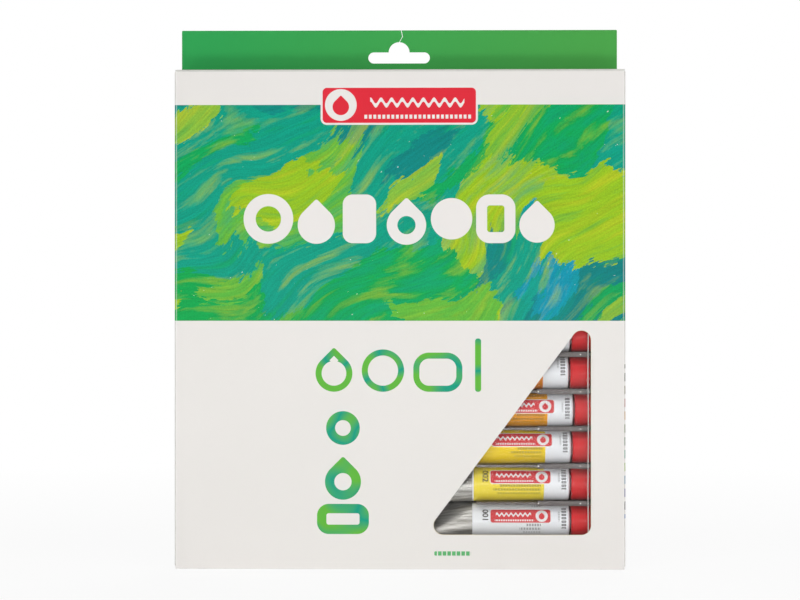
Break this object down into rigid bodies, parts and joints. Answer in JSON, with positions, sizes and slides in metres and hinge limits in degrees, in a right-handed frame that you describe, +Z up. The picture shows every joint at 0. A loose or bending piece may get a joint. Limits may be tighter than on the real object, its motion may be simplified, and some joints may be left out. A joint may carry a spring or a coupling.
{
  "type": "gouache paint set box",
  "caption": "Upright hanging board carton with a leaning triangular window, holding small paint tubes with screw caps in a clear formed tray.",
  "frame": {"origin": "centre of the bounding box at its lowest level, which is the level the carton stands on", "axes": "+Z up, the printed front panel faces -Y, +X to the right of someone looking at the front"},
  "size_m": [0.23, 0.023, 0.2774],
  "materials": {
    "printed_board": "satin coated white board with print",
    "tab_board": "satin green print",
    "flap_board": "satin coated white board",
    "clear_film": "clear glossy film",
    "tray_sheet": "smoky clear formed sheet",
    "tube_metal": "lacquered soft aluminium with a printed label",
    "cap_plastic": "smooth red moulded plastic"
  },
  "bodies": {
    "carton": {"carton_body": "printed_board", "header_panel": "tab_board", "window_film": "clear_film", "tray": "tray_sheet", "tube_01": "tube_metal", "tube_02": "tube_metal", "tube_03": "tube_metal", "tube_04": "tube_metal", "tube_05": "tube_metal", "tube_06": "tube_metal", "tube_07": "tube_metal", "tube_08": "tube_metal", "tube_09": "tube_metal", "tube_10": "tube_metal", "tube_11": "tube_metal", "tube_12": "tube_metal", "tube_13": "tube_metal", "tube_14": "tube_metal", "tube_15": "tube_metal", "tube_16": "tube_metal", "tube_17": "tube_metal", "tube_18": "tube_metal", "tube_19": "tube_metal", "tube_20": "tube_metal", "tube_21": "tube_metal", "tube_22": "tube_metal", "tube_23": "tube_metal", "tube_24": "tube_metal"},
    "top_lid_body": {"top_lid": "flap_board"},
    "top_tuck_flap_body": {"top_tuck_flap": "flap_board"},
    "top_dust_flap_right_body": {"top_dust_flap_right": "flap_board"},
    "top_dust_flap_left_body": {"top_dust_flap_left": "flap_board"},
    "bottom_lid_body": {"bottom_lid": "flap_board"},
    "bottom_tuck_flap_body": {"bottom_tuck_flap": "flap_board"},
    "bottom_dust_flap_right_body": {"bottom_dust_flap_right": "flap_board"},
    "bottom_dust_flap_left_body": {"bottom_dust_flap_left": "flap_board"},
    "cap_01_body": {"cap_01": "cap_plastic"},
    "cap_02_body": {"cap_02": "cap_plastic"},
    "cap_03_body": {"cap_03": "cap_plastic"},
    "cap_04_body": {"cap_04": "cap_plastic"},
    "cap_05_body": {"cap_05": "cap_plastic"},
    "cap_06_body": {"cap_06": "cap_plastic"},
    "cap_07_body": {"cap_07": "cap_plastic"},
    "cap_08_body": {"cap_08": "cap_plastic"},
    "cap_09_body": {"cap_09": "cap_plastic"},
    "cap_10_body": {"cap_10": "cap_plastic"},
    "cap_11_body": {"cap_11": "cap_plastic"},
    "cap_12_body": {"cap_12": "cap_plastic"},
    "cap_13_body": {"cap_13": "cap_plastic"},
    "cap_14_body": {"cap_14": "cap_plastic"},
    "cap_15_body": {"cap_15": "cap_plastic"},
    "cap_16_body": {"cap_16": "cap_plastic"},
    "cap_17_body": {"cap_17": "cap_plastic"},
    "cap_18_body": {"cap_18": "cap_plastic"},
    "cap_19_body": {"cap_19": "cap_plastic"},
    "cap_20_body": {"cap_20": "cap_plastic"},
    "cap_21_body": {"cap_21": "cap_plastic"},
    "cap_22_body": {"cap_22": "cap_plastic"},
    "cap_23_body": {"cap_23": "cap_plastic"},
    "cap_24_body": {"cap_24": "cap_plastic"}
  },
  "joints": [
    {"name": "top_lid_fold", "type": "hinge", "parent": "carton", "child": "top_lid_body", "pos_m": [0, -0.01152, 0.255], "axis": [1, 0, 0], "range_deg": [0, 240]},
    {"name": "top_tuck_fold", "type": "hinge", "parent": "top_lid_body", "child": "top_tuck_flap_body", "pos_m": [0, 0.01027, 0.255], "axis": [1, 0, 0], "range_deg": [0, 20]},
    {"name": "top_dust_fold_right", "type": "hinge", "parent": "carton", "child": "top_dust_flap_right_body", "pos_m": [0.115, 0, 0.25425], "axis": [0, 1, 0], "range_deg": [0, 101]},
    {"name": "top_dust_fold_left", "type": "hinge", "parent": "carton", "child": "top_dust_flap_left_body", "pos_m": [-0.115, 0, 0.25425], "axis": [0, -1, 0], "range_deg": [0, 101]},
    {"name": "bottom_lid_fold", "type": "hinge", "parent": "carton", "child": "bottom_lid_body", "pos_m": [0, 0.01107, 0], "axis": [1, 0, 0], "range_deg": [0, 240]},
    {"name": "bottom_tuck_fold", "type": "hinge", "parent": "bottom_lid_body", "child": "bottom_tuck_flap_body", "pos_m": [0, -0.01072, 0.0003], "axis": [1, 0, 0], "range_deg": [0, 20]},
    {"name": "bottom_dust_fold_right", "type": "hinge", "parent": "carton", "child": "bottom_dust_flap_right_body", "pos_m": [0.115, 0, 0.00105], "axis": [0, -1, 0], "range_deg": [0, 101]},
    {"name": "bottom_dust_fold_left", "type": "hinge", "parent": "carton", "child": "bottom_dust_flap_left_body", "pos_m": [-0.115, 0, 0.00105], "axis": [0, 1, 0], "range_deg": [0, 101]},
    {"name": "cap_01_screw", "type": "hinge", "parent": "carton", "child": "cap_01_body", "pos_m": [0.092, -0.00045, 0.024], "axis": [1, 0, 0], "range_deg": [0, 540]},
    {"name": "cap_02_screw", "type": "hinge", "parent": "carton", "child": "cap_02_body", "pos_m": [0.092, -0.00045, 0.043], "axis": [1, 0, 0], "range_deg": [0, 540]},
    {"name": "cap_03_screw", "type": "hinge", "parent": "carton", "child": "cap_03_body", "pos_m": [0.092, -0.00045, 0.062], "axis": [1, 0, 0], "range_deg": [0, 540]},
    {"name": "cap_04_screw", "type": "hinge", "parent": "carton", "child": "cap_04_body", "pos_m": [0.092, -0.00045, 0.081], "axis": [1, 0, 0], "range_deg": [0, 540]},
    {"name": "cap_05_screw", "type": "hinge", "parent": "carton", "child": "cap_05_body", "pos_m": [0.092, -0.00045, 0.1], "axis": [1, 0, 0], "range_deg": [0, 540]},
    {"name": "cap_06_screw", "type": "hinge", "parent": "carton", "child": "cap_06_body", "pos_m": [0.092, -0.00045, 0.119], "axis": [1, 0, 0], "range_deg": [0, 540]},
    {"name": "cap_07_screw", "type": "hinge", "parent": "carton", "child": "cap_07_body", "pos_m": [0.092, -0.00045, 0.138], "axis": [1, 0, 0], "range_deg": [0, 540]},
    {"name": "cap_08_screw", "type": "hinge", "parent": "carton", "child": "cap_08_body", "pos_m": [0.092, -0.00045, 0.157], "axis": [1, 0, 0], "range_deg": [0, 540]},
    {"name": "cap_09_screw", "type": "hinge", "parent": "carton", "child": "cap_09_body", "pos_m": [0.092, -0.00045, 0.176], "axis": [1, 0, 0], "range_deg": [0, 540]},
    {"name": "cap_10_screw", "type": "hinge", "parent": "carton", "child": "cap_10_body", "pos_m": [0.092, -0.00045, 0.195], "axis": [1, 0, 0], "range_deg": [0, 540]},
    {"name": "cap_11_screw", "type": "hinge", "parent": "carton", "child": "cap_11_body", "pos_m": [0.092, -0.00045, 0.214], "axis": [1, 0, 0], "range_deg": [0, 540]},
    {"name": "cap_12_screw", "type": "hinge", "parent": "carton", "child": "cap_12_body", "pos_m": [0.092, -0.00045, 0.233], "axis": [1, 0, 0], "range_deg": [0, 540]},
    {"name": "cap_13_screw", "type": "hinge", "parent": "carton", "child": "cap_13_body", "pos_m": [-0.092, -0.00045, 0.024], "axis": [-1, 0, 0], "range_deg": [0, 540]},
    {"name": "cap_14_screw", "type": "hinge", "parent": "carton", "child": "cap_14_body", "pos_m": [-0.092, -0.00045, 0.043], "axis": [-1, 0, 0], "range_deg": [0, 540]},
    {"name": "cap_15_screw", "type": "hinge", "parent": "carton", "child": "cap_15_body", "pos_m": [-0.092, -0.00045, 0.062], "axis": [-1, 0, 0], "range_deg": [0, 540]},
    {"name": "cap_16_screw", "type": "hinge", "parent": "carton", "child": "cap_16_body", "pos_m": [-0.092, -0.00045, 0.081], "axis": [-1, 0, 0], "range_deg": [0, 540]},
    {"name": "cap_17_screw", "type": "hinge", "parent": "carton", "child": "cap_17_body", "pos_m": [-0.092, -0.00045, 0.1], "axis": [-1, 0, 0], "range_deg": [0, 540]},
    {"name": "cap_18_screw", "type": "hinge", "parent": "carton", "child": "cap_18_body", "pos_m": [-0.092, -0.00045, 0.119], "axis": [-1, 0, 0], "range_deg": [0, 540]},
    {"name": "cap_19_screw", "type": "hinge", "parent": "carton", "child": "cap_19_body", "pos_m": [-0.092, -0.00045, 0.138], "axis": [-1, 0, 0], "range_deg": [0, 540]},
    {"name": "cap_20_screw", "type": "hinge", "parent": "carton", "child": "cap_20_body", "pos_m": [-0.092, -0.00045, 0.157], "axis": [-1, 0, 0], "range_deg": [0, 540]},
    {"name": "cap_21_screw", "type": "hinge", "parent": "carton", "child": "cap_21_body", "pos_m": [-0.092, -0.00045, 0.176], "axis": [-1, 0, 0], "range_deg": [0, 540]},
    {"name": "cap_22_screw", "type": "hinge", "parent": "carton", "child": "cap_22_body", "pos_m": [-0.092, -0.00045, 0.195], "axis": [-1, 0, 0], "range_deg": [0, 540]},
    {"name": "cap_23_screw", "type": "hinge", "parent": "carton", "child": "cap_23_body", "pos_m": [-0.092, -0.00045, 0.214], "axis": [-1, 0, 0], "range_deg": [0, 540]},
    {"name": "cap_24_screw", "type": "hinge", "parent": "carton", "child": "cap_24_body", "pos_m": [-0.092, -0.00045, 0.233], "axis": [-1, 0, 0], "range_deg": [0, 540]}
  ],
  "couplings": [
    {"joint": "top_tuck_fold", "follows": "top_lid_fold", "ratio": 0.08},
    {"joint": "top_dust_fold_right", "follows": "top_lid_fold", "ratio": 0.42},
    {"joint": "top_dust_fold_left", "follows": "top_lid_fold", "ratio": 0.42},
    {"joint": "bottom_tuck_fold", "follows": "bottom_lid_fold", "ratio": 0.08},
    {"joint": "bottom_dust_fold_right", "follows": "bottom_lid_fold", "ratio": 0.42},
    {"joint": "bottom_dust_fold_left", "follows": "bottom_lid_fold", "ratio": 0.42}
  ]
}
